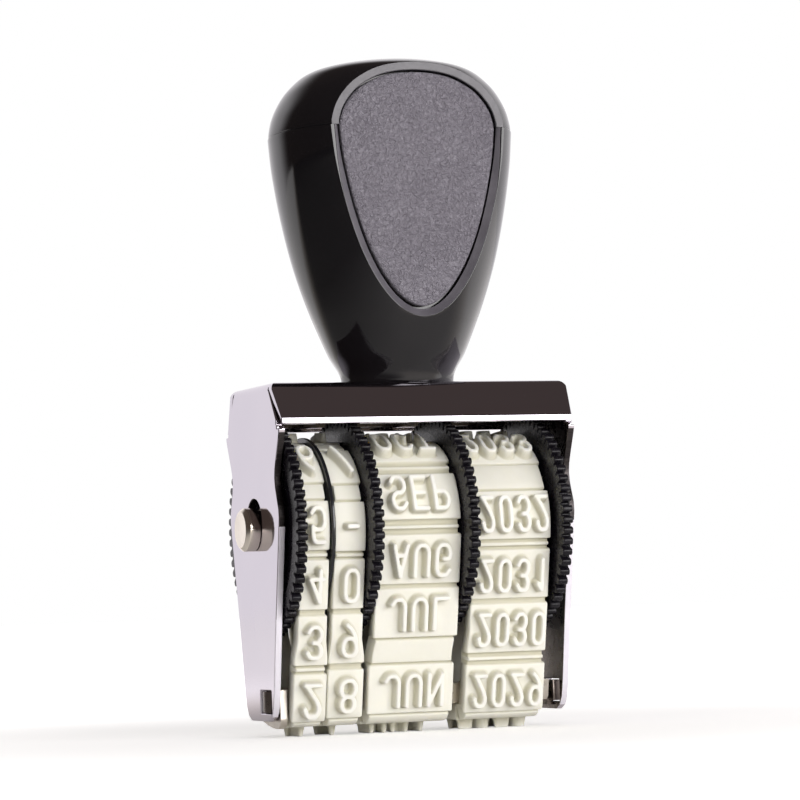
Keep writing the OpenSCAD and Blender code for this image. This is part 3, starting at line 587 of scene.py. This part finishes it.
def band(name, node, x0, x1, low, pads, texts, w, pitch, seed, body="stamp"):
    """low: where the band's sides are below the thumb wheels, where nothing holds it in."""
    rng = np.random.default_rng(seed)
    count = len(texts[0])
    xc = (x0 + x1) / 2
    half = (count - 1) / 2 * pitch + w / 2 + 0.42
    half = min(half, (x1 - x0) / 2 - 0.16)
    step = 0.086 if x1 - x0 < 6 else 0.092
    xs = np.concatenate([[x0, x0 + 0.03, x0 + 0.09],
                         ticks([(x0 + 0.16, xc - half, 0.35), (xc - half, xc + half, step), (xc + half, x1 - 0.16, 0.35)]),
                         [x1 - 0.09, x1 - 0.03, x1]])
    # rows along the loop: fine over the characters, and at every edge of a pad
    rows, base, side = [], [], []
    n = len(pads)
    for i, c in enumerate(pads):
        nxt = pads[i + 1] if i + 1 < n else LOOP
        a, b = c + PAD_L / 2, nxt - PAD_L / 2
        pad = ticks([(c - PAD_L / 2 + 0.14, c - 2.35, 0.1), (c - 2.35, c + 2.35, step), (c + 2.35, c + PAD_L / 2 - 0.14, 0.1)])
        edge = [(c - PAD_L / 2, -0.17), (c - PAD_L / 2 + 0.03, -0.07), (c - PAD_L / 2 + 0.08, -0.02)]
        for s, o in edge:
            rows.append(s), base.append(o), side.append(0.03)
        for s in pad:
            rows.append(s), base.append(0.0), side.append(0.0)
        for s, o in reversed(edge):
            rows.append(2 * c - s), base.append(o), side.append(0.03)
        gap = b - a
        deep = -0.40
        if gap > 2.0:      # a blank raised strip between two grooves
            m = 0.26
            prof = [(a + 0.07, deep), (a + m - 0.07, deep), (a + m, -0.16), (a + m + 0.05, -0.07)]
            prof += [(s, -0.05) for s in np.linspace(a + m + 0.12, b - m - 0.12, 6)]
            prof += [(b - m - 0.05, -0.07), (b - m, -0.16), (b - m + 0.07, deep), (b - 0.07, deep)]
        elif gap > 0.8:    # a rib
            c2, h = (a + b) / 2, 0.17
            prof = [(a + 0.07, deep), (c2 - h - 0.06, deep), (c2 - h, -0.12), (c2 - h + 0.06, -0.06), (c2, -0.05),
                    (c2 + h - 0.06, -0.06), (c2 + h, -0.12), (c2 + h + 0.06, deep), (b - 0.07, deep)]
        else:
            g = min(0.07, gap * 0.3)
            prof = [(a + g, deep * 0.8), ((a + b) / 2, deep), (b - g, deep * 0.8)]
        for s, o in prof:
            rows.append(s), base.append(o), side.append(min(0.30, 0.10 + gap * 0.11))
    rows, base, side = map(np.array, (rows, base, side))
    # each pad sits a little differently, as moulded rubber does
    S, X = np.meshgrid(rows, xs, indexing="ij")
    H = np.repeat(base[:, None], len(xs), 1)
    # Masks for painted light: top marks the printing faces for a painted highlight; the shade mask marks the grooves
    # and the characters' feet for painted shade.
    top = np.zeros_like(H)
    painted_shade_mask = np.repeat(np.clip(-base / 0.4, 0, 1)[:, None], len(xs), 1)
    for i, c in enumerate(pads):
        sel = np.abs(rows - c) < 2.36
        if i == 0:
            sel |= np.abs(rows - c - LOOP) < 2.36
        v = -(S[sel] - c)
        if i == 0:
            v = np.where(v < -LOOP / 2, v + LOOP, v)
        tilt = 0.0 if i == 0 else rng.uniform(-0.012, 0.012)
        for k, ch in enumerate(texts[i]):
            u = X[sel] - xc - (k - (count - 1) / 2) * pitch
            d = stroke_distance(ch, u, v + tilt * u, w)
            lift = smooth((STROKE / 2 + 0.13 - d) / 0.19)
            H[sel] = np.maximum(H[sel], RELIEF * lift)
            top[sel] = np.maximum(top[sel], smooth((STROKE / 2 + 0.03 - d) / 0.1))
            foot = smooth((STROKE / 2 + 0.42 - d) / 0.32) * (1 - smooth((STROKE / 2 + 0.06 - d) / 0.14))
            painted_shade_mask[sel] = np.maximum(painted_shade_mask[sel], foot * 0.75)
    # rounded long edges
    drop = np.zeros(len(xs))
    drop[[0, -1]], drop[[1, -2]], drop[[2, -3]] = 0.16, 0.07, 0.02
    H = H - drop[None, :]
    # grooves pull in a little at the sides
    inx = 1 - np.clip((X - x0) / 0.6, 0, 1)
    iny = 1 - np.clip((x1 - X) / 0.6, 0, 1)
    X = X + side[:, None] * (inx - iny)
    wav = 0.012 * np.sin(S * 2 * math.pi * 5 / LOOP + seed)
    Y, Z = loop_pt(S, H + np.where(H < 0.5, wav, 0) * (H > -0.3) * 0.6)
    # inner side
    xin = np.array([x1 - 0.04, x1 - 0.3, xc, x0 + 0.3, x0 + 0.04])
    rib = np.where(np.mod(np.arange(len(rows)), 6) < 3, 0.0, 0.0)
    SI, XI = np.meshgrid(rows, xin, indexing="ij")
    hi = np.repeat(np.array([0.06, 0, 0, 0, 0.06])[None, :], len(rows), 0) - BAND_T + rib[:, None]
    YI, ZI = loop_pt(SI, hi)
    free = smooth((11.0 - loop_pt(rows, 0.0)[1]) / 2.6)[:, None]
    for G in (X, XI):
        G += free * (low[0] - x0 + (G - x0) * ((low[1] - low[0]) / (x1 - x0) - 1))
    VX = np.concatenate([X, XI], 1)
    VY = np.concatenate([Y, YI], 1)
    VZ = np.concatenate([Z, ZI], 1)
    nr, nc = VX.shape
    verts = np.stack([VX, VY, VZ], -1).reshape(-1, 3)
    idx = np.arange(nr * nc).reshape(nr, nc)
    a = idx
    b = np.roll(idx, -1, 1)
    c = np.roll(b, -1, 0)
    d = np.roll(idx, -1, 0)
    faces = np.stack([a, d, c, b], -1).reshape(-1, 4)
    ob = new_object(name, verts, faces.tolist(), ["rubber"])
    pad_in = ((0, 0), (0, len(xin)))
    # The band's inner side gets half strength painted shade.
    for key, val in (("top", np.pad(top, pad_in)), ("deep", np.pad(painted_shade_mask, pad_in, constant_values=0.5))):
        at = ob.data.attributes.new(key, "FLOAT", "POINT")
        at.data.foreach_set("value", val.astype(np.float32).ravel())
    ob.data.set_sharp_from_angle(angle=math.radians(80))
    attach(ob, body)
    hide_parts(node)
    return ob


P_TENS = [0, 7.9, 14.5, 20.8, 27.5, 35.4, 43.2, 50.2, 57.2, 64.4, 71.0, 77.6]
P_UNITS = [0, 8.3, 14.6, 20.8, 27.3, 35.2, 43.4, 50.4, 57.4, 64.4, 71.0, 77.4]
P_MONTH = [0, 8.6, 17.3, 23.4, 30.7, 38.2, 45.6, 52.4, 58.8, 65.4, 71.6, 77.6]
P_YEAR = [0, 8.2, 15.2, 21.4, 28.2, 37.6, 44.6, 51.4, 58.2, 65.0, 71.4, 77.6]
MONTHS = ["MAY", "JUN", "JUL", "AUG", "SEP", "OCT", "NOV", "DEC", "JAN", "FEB", "MAR", "APR"]
band("date_band_tens", "band_tens", -15.58, -12.18, (-15.85, -11.95), P_TENS, list("1234567890-/"), 2.0, 2.2, 3)
band("date_band_units", "band_units", -11.62, -7.95, (-11.82, -7.6), P_UNITS, list("7890-/123456"), 2.0, 2.2, 5)
band("date_band_month", "band_month", -6.58, 3.45, (-7.0, 3.2), P_MONTH, MONTHS, 2.05, 2.55, 7)
band("date_band_year", "band_year", 4.9, 14.35, (4.68, 14.35), P_YEAR, [str(2028 + i) for i in range(12)], 1.75, 2.2, 11)

# --------------------------------------------------------------------------
# handle
# --------------------------------------------------------------------------
SEAM, TOP, FLAT = 68.2, 76.8, 9.35
PEAR = [(39.5, 6.4), (40.4, 6.5), (42.9, 7.8), (45.6, 8.95), (48.4, 10.05), (51.2, 11.0), (54, 11.8), (58, 12.7), (62, 13.4), (65, 13.8), (68.2, 14.05)]
DOME = [(68.2, 14.0), (69.3, 13.85), (70.6, 13.5), (71.8, 12.95), (73, 12.2), (74, 11.3), (74.8, 10.4), (75.5, 9.2), (75.95, 7.8), (76.32, 6.1), (76.62, 3.9)]


def monotone(table):
    """A smooth curve through the table's points that never overshoots them."""
    x = np.array([q[0] for q in table], float)
    y = np.array([q[1] for q in table], float)
    h, d = np.diff(x), np.diff(y) / np.diff(x)
    m = np.zeros(len(x))
    m[0], m[-1] = d[0], d[-1]
    for i in range(1, len(x) - 1):
        if d[i - 1] * d[i] > 0:
            w1, w2 = 2 * h[i] + h[i - 1], h[i] + 2 * h[i - 1]
            m[i] = (w1 + w2) / (w1 / d[i - 1] + w2 / d[i])

    def f(t):
        i = int(np.clip(np.searchsorted(x, t) - 1, 0, len(x) - 2))
        u = (t - x[i]) / h[i]
        return ((1 + 2 * u) * (1 - u) ** 2 * y[i] + u * (1 - u) ** 2 * h[i] * m[i]
                + u * u * (3 - 2 * u) * y[i + 1] + u * u * (u - 1) * h[i] * m[i + 1])
    return f


_pear = monotone(PEAR)
# the dome as a curve of its own angle, so that it closes round at the top
_dome_a = [(math.atan2(z - 64.0, r), math.hypot(z - 64.0, r)) for z, r in DOME]
_dome_a += [(math.pi / 2, TOP - 0.02 - 64.0), (math.pi - _dome_a[-1][0], _dome_a[-1][1])]
_dome = monotone(_dome_a)
_dome_pts = [(64.0 + _dome(a) * math.sin(a), max(0.0, _dome(a) * math.cos(a))) for a in np.linspace(_dome_a[0][0], math.pi / 2, 241)]
_dz_t = np.array([q[0] for q in _dome_pts])
_dr_t = np.array([q[1] for q in _dome_pts])


def radius(z):
    return _pear(z) if z <= SEAM else float(np.interp(z, _dz_t, _dr_t))


def solve(r, lo, hi):
    """Height at which the handle's radius is r, between lo and hi."""
    up = radius(hi) > radius(lo)
    for _ in range(60):
        mid = (lo + hi) / 2
        if (radius(mid) < r) == up:
            lo = mid
        else:
            hi = mid
    return (lo + hi) / 2


Z_TIP = round(solve(FLAT, 42, 55), 5)
Z_ARCH = round(solve(FLAT, 72, 76.7), 5)


class Builder:
    def __init__(self):
        self.v, self.f, self.m = [], [], []

    def add(self, *pts):
        i = len(self.v)
        self.v += [tuple(p) for p in pts]
        return list(range(i, i + len(pts)))

    def strip(self, a, b, mat=0, closed=False):
        """Faces between two rows of vertex numbers of the same length."""
        n = len(a)
        for i in range(n if closed else n - 1):
            j = (i + 1) % n
            q = [a[i], a[j], b[j], b[i]]
            q = [k for n_, k in enumerate(q) if k not in q[:n_]]
            if len(q) > 2:
                self.f.append(q)
                self.m.append(mat)

    def grid(self, rows, mat=0, closed=False):
        ids = [self.add(*r) for r in rows]
        for a, b in zip(ids, ids[1:]):
            self.strip(a, b, mat, closed)
        return ids

    def fan(self, ring, point, mat=0):
        p = self.add(point)[0]
        for i in range(len(ring)):
            self.f.append([ring[i], ring[(i + 1) % len(ring)], p])
            self.m.append(mat)


COLS = 40


def side_row(z, r, flat=FLAT):
    """The right half of the outside at height z, from the front edge round to the rear one."""
    th = math.asin(flat / r) if r > flat + 1e-5 else math.pi / 2
    return [(r * math.cos(t), r * math.sin(t), z) for t in np.linspace(-th, th, COLS)]


def rim_section(z, cap):
    """(inset, depth, material) points of the rim from the outer edge to the floor of the recess."""
    if cap:
        return [(0.10, 0.0, 1), (0.82, 0.0, 1), (0.90, 0.07, 1), (0.93, 0.3, 0), (0.96, 1.3, 0)]
    k = smooth((z - Z_TIP) / (SEAM - Z_TIP) * 0.98)
    wf = 0.07 + 0.39 * float(smooth((z - 59.5) / (SEAM - 59.5)))
    fall = 0.46 - 0.12 * float(k)
    return [(0.06, 0.0, 0), (wf, 0.02, 0), (wf + 0.10, 0.07, 2), (wf + 0.34, 0.07 + fall * 0.55, 2), (0.88, 0.07 + fall, 2), (0.96, 1.3, 0)]


def outline_rows(cap):
    n = 72
    z = np.array([Z_TIP + (Z_ARCH - Z_TIP) * (0.5 - 0.5 * math.cos(math.pi * k / n)) for k in range(n + 1)])
    z = z[(z > SEAM + 0.1)] if cap else z[(z < SEAM - 0.3)]
    return list(z)


def inward(z):
    """Inward normal (x, z) of the flat's outline on its right side, at height z."""
    e = 0.004
    a, b = max(Z_TIP, z - e), min(Z_ARCH, z + e)
    xa, xb = (math.sqrt(max(0, radius(q) ** 2 - FLAT**2)) for q in (a, b))
    t = np.array([xb - xa, b - a])
    t /= np.linalg.norm(t)
    return np.array([-t[1], t[0]])


def half_handle(B, zs, radii, cap):
    """Outside, rims and recess floors of one half, for the rows zs. Mirrored for the left half."""
    for sx in (1, -1):
        rows = [side_row(z, r) for z, r in zip(zs, radii)]
        rows = [[(sx * x, y, z) for x, y, z in row] for row in rows]
        B.grid(rows)
    lim = SEAM
    for sy in (1, -1):
        left_right = []
        for sx in (1, -1):
            rings = []
            for z, r in zip(zs, radii):
                if r < FLAT - 1e-6 and min(abs(z - Z_TIP), abs(z - Z_ARCH)) > 1e-4:
                    continue
                x = math.sqrt(r * r - FLAT * FLAT) if r > FLAT + 1e-5 else 0.0
                n = inward(z)
                if abs(z - Z_TIP) < 1e-4:
                    n = np.array([0.0, 1.0])
                if abs(z - Z_ARCH) < 1e-4:
                    n = np.array([0.0, -1.0])
                ring = [(sx * x, sy * -FLAT, z)]
                for w, dep, _ in rim_section(z, cap):
                    px, pz = max(0.0, x + n[0] * w), z + n[1] * w
                    pz = max(pz, lim) if cap else min(pz, lim)
                    if abs(z - lim) < 1e-6:
                        pz = lim
                    ring.append((sx * px, sy * -(FLAT - dep), pz))
                rings.append(ring)
            secs = rim_section(50, cap)
            ids = [B.add(*ring) for ring in rings]
            for a, b in zip(ids, ids[1:]):
                for k in range(len(a) - 1):
                    B.f.append([a[k], a[k + 1], b[k + 1], b[k]])
                    B.m.append(secs[k][2])
            left_right.append([i[-1] for i in ids])
        B.strip(left_right[0], left_right[1], 0)


def ring(r, z, yc, n=96):
    return [(r * math.cos(t), float(np.clip(r * math.sin(t), -yc, yc)), z) for t in np.linspace(0, 2 * math.pi, n, endpoint=False)]


def close_level(ob, z, fix):
    """Fills the flat annulus at height z between the outer and the inner boundary."""
    bm = bmesh.new()
    bm.from_mesh(ob.data)
    bmesh.ops.remove_doubles(bm, verts=bm.verts, dist=0.002 * MM)
    edges = [e for e in bm.edges if e.is_boundary and all(abs(v.co.z - z * MM) < 2e-6 for v in e.verts)]
    bmesh.ops.triangle_fill(bm, edges=edges, use_beauty=True, use_dissolve=False)
    bmesh.ops.recalc_face_normals(bm, faces=bm.faces)
    for f in bm.faces:
        f.smooth = True
    left = sum(1 for e in bm.edges if e.is_boundary)
    bm.to_mesh(ob.data)
    bm.free()
    return left


# lower shell
B = Builder()
zs = [39.5, 39.58, 39.75] + list(np.linspace(40.0, Z_TIP - 0.25, 26)) + outline_rows(False) + [SEAM - 0.16, SEAM - 0.05, SEAM]
zs = sorted(set(round(z, 5) for z in zs))
rad = []
for z in zs:
    r = radius(z)
    r -= 0.12 if z <= 39.51 else 0.03 if z < 39.65 else 0.0
    r -= 0.09 if z >= SEAM - 1e-6 else 0.02 if z > SEAM - 0.1 else 0.0
    rad.append(r)
half_handle(B, zs, rad, False)
inner = [(11.45, SEAM, 6.9), (11.4, 67.0, 6.9), (11.0, 62, 6.9), (10.2, 58, 6.9), (9.0, 54, 6.9), (7.6, 50, 6.9), (3.45, 50, 6.9),
         (3.45, 41.5, 6.9), (2.2, 41.5, 6.9), (2.2, 39.5, 6.9)]
B.grid([ring(*q) for q in inner], 0, True)
body = new_object("handle_lower_shell", B.v, B.f, ["gloss", "rim", "rimwall"], B.m)
left_a = close_level(body, SEAM, 0)
left_b = close_level(body, 39.5, 0)
tidy(body, 0.002, 38)

# cap
B = Builder()
zs = [SEAM, SEAM + 0.05, SEAM + 0.14] + outline_rows(True)
top_a = math.atan2(Z_ARCH - 64.0, radius(Z_ARCH))
for a in np.linspace(top_a, math.pi / 2, 26)[1:-1]:
    zs.append(64.0 + _dome(a) * math.sin(a))
zs = sorted(set(round(z, 5) for z in zs))
rad = [radius(z) - (0.16 if z <= SEAM + 1e-6 else 0.06 if z < SEAM + 0.1 else 0.03 if z < SEAM + 0.2 else 0.0) for z in zs]
half_handle(B, zs, rad, True)
# the pole
last = side_row(zs[-1], rad[-1])
for sx in (1, -1):
    ids = B.add(*[(sx * x, y, z) for x, y, z in last])
    p = B.add((0, 0, TOP))[0]
    for a, b in zip(ids, ids[1:]):
        B.f.append([a, b, p])
        B.m.append(0)
inner = [(11.42, SEAM, 6.75), (11.2, 66.1, 6.75), (11.1, 66.0, 6.65), (9.9, 66.0, 5.4), (10.2, 69.2, 5.4), (9.9, 71.2, 5.4), (8.2, 73.4, 5.4), (5.4, 74.8, 5.4)]
ids = B.grid([ring(*q) for q in inner], 0, True)
B.fan(ids[-1], (0, 0, 75.2))
cap = new_object("handle_upper_shell", B.v, B.f, ["gloss", "rim"], B.m)
left_c = close_level(cap, SEAM, 0)
tidy(cap, 0.002, 38)
print("handle open edges", left_a, left_b, left_c)

for ob, node in ((body, "handle_body"), (cap, "handle_cap")):
    bw = ob.modifiers.new("edge_round", "BEVEL")
    bw.width = 0.16 * MM
    bw.segments = 3
    bw.limit_method = "ANGLE"
    bw.angle_limit = math.radians(28)
    bw.use_clamp_overlap = True
    bw.harden_normals = False
    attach(ob, "stamp")
    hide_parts(node)


# panels: a crowned plate with a rolled edge, in the recess of each flat
def panel(name, node, sy):
    n = 90
    zz = [Z_TIP + (Z_ARCH - Z_TIP) * (0.5 - 0.5 * math.cos(math.pi * k / n)) for k in range(n + 1)]
    half = []
    for z in zz:
        x = math.sqrt(max(0.0, radius(z) ** 2 - FLAT**2))
        nn = inward(z)
        if abs(z - Z_TIP) < 1e-4:
            nn = np.array([0.0, 1.0])
        if abs(z - Z_ARCH) < 1e-4:
            nn = np.array([0.0, -1.0])
        half.append((x, z, nn))
    rings = []
    for w0, dep in ((0.06, 1.29), (0.0, 1.22), (0.0, 0.46), (0.03, 0.34), (0.10, 0.26), (0.20, 0.22), (0.36, 0.20), (0.9, 0.19)):
        pts = []
        for x, z, nn in half:
            w = w0 + (1.08 if z > SEAM else 1.12 + 0.10 * (1 - float(smooth((z - Z_TIP) / 12))))
            pts.append((max(0.0, x + nn[0] * w), z + nn[1] * w))
        loop = pts + [(-a, b) for a, b in reversed(pts[1:-1])]
        rings.append([(a, sy * -(FLAT - dep), b) for a, b in loop])
    B = Builder()
    ids = B.grid(rings, 0, True)
    B.f.append(ids[-1])
    B.m.append(0)
    B.f.append(list(reversed(ids[0])))
    B.m.append(0)
    ob = new_object(name, B.v, B.f, ["panel"], B.m)
    tidy(ob, 0.002, 60)
    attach(ob, "stamp")
    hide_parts(node)
    return ob


panel("grained_panel_front", "panel_front", 1)
panel("grained_panel_rear", "panel_rear", -1)

# --------------------------------------------------------------------------
# floor and light
# --------------------------------------------------------------------------
bm = bmesh.new()
bmesh.ops.create_circle(bm, cap_ends=True, segments=96, radius=4.0)
me = bpy.data.meshes.new("floor")
bm.to_mesh(me)
bm.free()
floor = bpy.data.objects.new("floor", me)
floor.location = (0, 0, -0.00002)
SCENE.collection.objects.link(floor)
fm = Mat("pale_floor", (0.84, 0.83, 0.82), 0.8)
fm.b.inputs["Specular IOR Level"].default_value = 0.0
sp = fm.node("ShaderNodeSeparateXYZ")
fm.link(fm.co, sp.inputs[0])
rad_ = fm.math("SQRT", fm.math("ADD", fm.math("POWER", sp.outputs[0], 2.0), fm.math("POWER", sp.outputs[1], 2.0)))
# Painted light on the floor: to the camera it glows, less within about 0.16 m of the stamp, which paints a darker zone
# round its base.
seen = fm.remap(rad_, 0.03, 0.16, 0.42, 1.0, True)
# Seen from the stamp the floor glows warm behind and to the right and in a pool in front: painted light for the
# reflections.
painted_back_glow = fm.remap(fm.math("ADD", sp.outputs[1], fm.math("MULTIPLY", sp.outputs[0], 0.75)), 0.01, 0.15, 0.0, 0.98, True)
front = fm.math("MULTIPLY", fm.remap(sp.outputs[1], -0.13, -0.04, 0.34, 0.0, True), fm.remap(sp.outputs[0], -0.07, 0.0, 0.0, 1.0, True))
painted_back_glow_tint = fm.mix(painted_back_glow, (1.0, 0.87, 0.74), (1.0, 0.975, 0.985))
em1, em2 = fm.node("ShaderNodeEmission"), fm.node("ShaderNodeEmission")
fm.link(seen, em1.inputs["Strength"])
fm.link(fm.math("ADD", painted_back_glow, front), em2.inputs["Strength"])
fm.link(painted_back_glow_tint, em2.inputs["Color"])
lpf = fm.node("ShaderNodeLightPath").outputs["Is Camera Ray"]
# To everything but the camera the floor is dark to the left: painted shade for the reflections there.
tone = fm.mix(fm.remap(sp.outputs[0], -0.15, 0.01, 0, 1, True), (0.16, 0.155, 0.15), (0.95, 0.94, 0.93))
fm.color(fm.mix(lpf, tone, (0.84, 0.83, 0.82)))
mx, ad = fm.node("ShaderNodeMixShader"), fm.node("ShaderNodeAddShader")
fm.link(lpf, mx.inputs[0])
fm.link(em2.outputs[0], mx.inputs[1])
fm.link(em1.outputs[0], mx.inputs[2])
fm.link(mx.outputs[0], ad.inputs[0])
fm.link(fm.b.outputs[0], ad.inputs[1])
fout = next(n for n in fm.nt.nodes if n.type == "OUTPUT_MATERIAL")
fm.link(ad.outputs[0], fout.inputs["Surface"])
me.materials.append(fm.m)


def area(name, at, size, watts, color=(1, 1, 1), glossy=True):
    d = bpy.data.lights.new(name, "AREA")
    d.shape = "RECTANGLE"
    d.size, d.size_y = size
    d.energy = watts
    d.color = color
    o = bpy.data.objects.new(name, d)
    SCENE.collection.objects.link(o)
    o.location = at
    o.rotation_mode = "QUATERNION"
    o.rotation_quaternion = (Vector((0, 0, 0.035)) - Vector(at)).to_track_quat("-Z", "Y")
    o.visible_glossy = glossy
    o.visible_camera = False
    return o


area("key_softbox", (0.42, -0.95, 0.22), (0.70, 0.50), 7.6, (1.0, 0.985, 0.99))
area("soft_fill", (-0.1, 0.2, 1.3), (0.9, 0.9), 3.6, (1, 1, 1), glossy=False)
area("left_fill", (-1.0, -0.45, 0.30), (0.7, 0.7), 2.6, (1.0, 0.99, 0.96), glossy=False)
area("front_fill", (-0.2, -1.05, 0.55), (0.8, 0.5), 3.3, (1.0, 0.995, 0.97), glossy=False)

world = bpy.data.worlds.new("studio")
SCENE.world = world
world.use_nodes = True
nt = world.node_tree
nt.nodes.clear()


def wn(kind, **props):
    n = nt.nodes.new(kind)
    for k, v in props.items():
        setattr(n, k, v)
    return n


def wmap(src, a, b, lo=0.0, hi=1.0):
    n = wn("ShaderNodeMapRange", interpolation_type="SMOOTHSTEP")
    for k, v in zip(("From Min", "From Max", "To Min", "To Max"), (a, b, lo, hi)):
        n.inputs[k].default_value = v
    nt.links.new(src, n.inputs["Value"])
    return n.outputs["Result"]


def wmath(op, a, b):
    n = wn("ShaderNodeMath", operation=op)
    for i, v in enumerate((a, b)):
        if isinstance(v, float):
            n.inputs[i].default_value = v
        else:
            nt.links.new(v, n.inputs[i])
    return n.outputs[0]


def wmix(fac, c1, c2):
    n = wn("ShaderNodeMix", data_type="RGBA")
    nt.links.new(fac, n.inputs[0])
    for i, c in ((6, c1), (7, c2)):
        if isinstance(c, tuple):
            n.inputs[i].default_value = (*c, 1)
        else:
            nt.links.new(c, n.inputs[i])
    return n.outputs[2]


coord = wn("ShaderNodeTexCoord").outputs["Generated"]
sep = wn("ShaderNodeSeparateXYZ")
nt.links.new(coord, sep.inputs[0])
dx, dy, dzz = sep.outputs
around = wmath("ADD", dy, wmath("MULTIPLY", dx, 0.75))
back = wmath("MULTIPLY", wmap(around, 0.12, 0.55), wmap(dzz, 0.42, 0.72, 1.0, 0.0))
right = wmath("MULTIPLY", wmap(dx, 0.35, 0.8, 0.0, 0.8), wmap(dzz, 0.30, 0.62, 1.0, 0.0))
light = wmath("MAXIMUM", back, right)
sky = wmix(light, (0.070, 0.055, 0.050), (1.0, 0.97, 1.0))
lp = wn("ShaderNodeLightPath").outputs["Is Camera Ray"]
bg1, bg2 = wn("ShaderNodeBackground"), wn("ShaderNodeBackground")
nt.links.new(sky, bg1.inputs["Color"])
bg1.inputs["Strength"].default_value = 1.0
bg2.inputs["Color"].default_value = (1, 1, 1, 1)
mixs = wn("ShaderNodeMixShader")
nt.links.new(lp, mixs.inputs[0])
nt.links.new(bg1.outputs[0], mixs.inputs[1])
nt.links.new(bg2.outputs[0], mixs.inputs[2])
wo = wn("ShaderNodeOutputWorld")
nt.links.new(mixs.outputs[0], wo.inputs["Surface"])
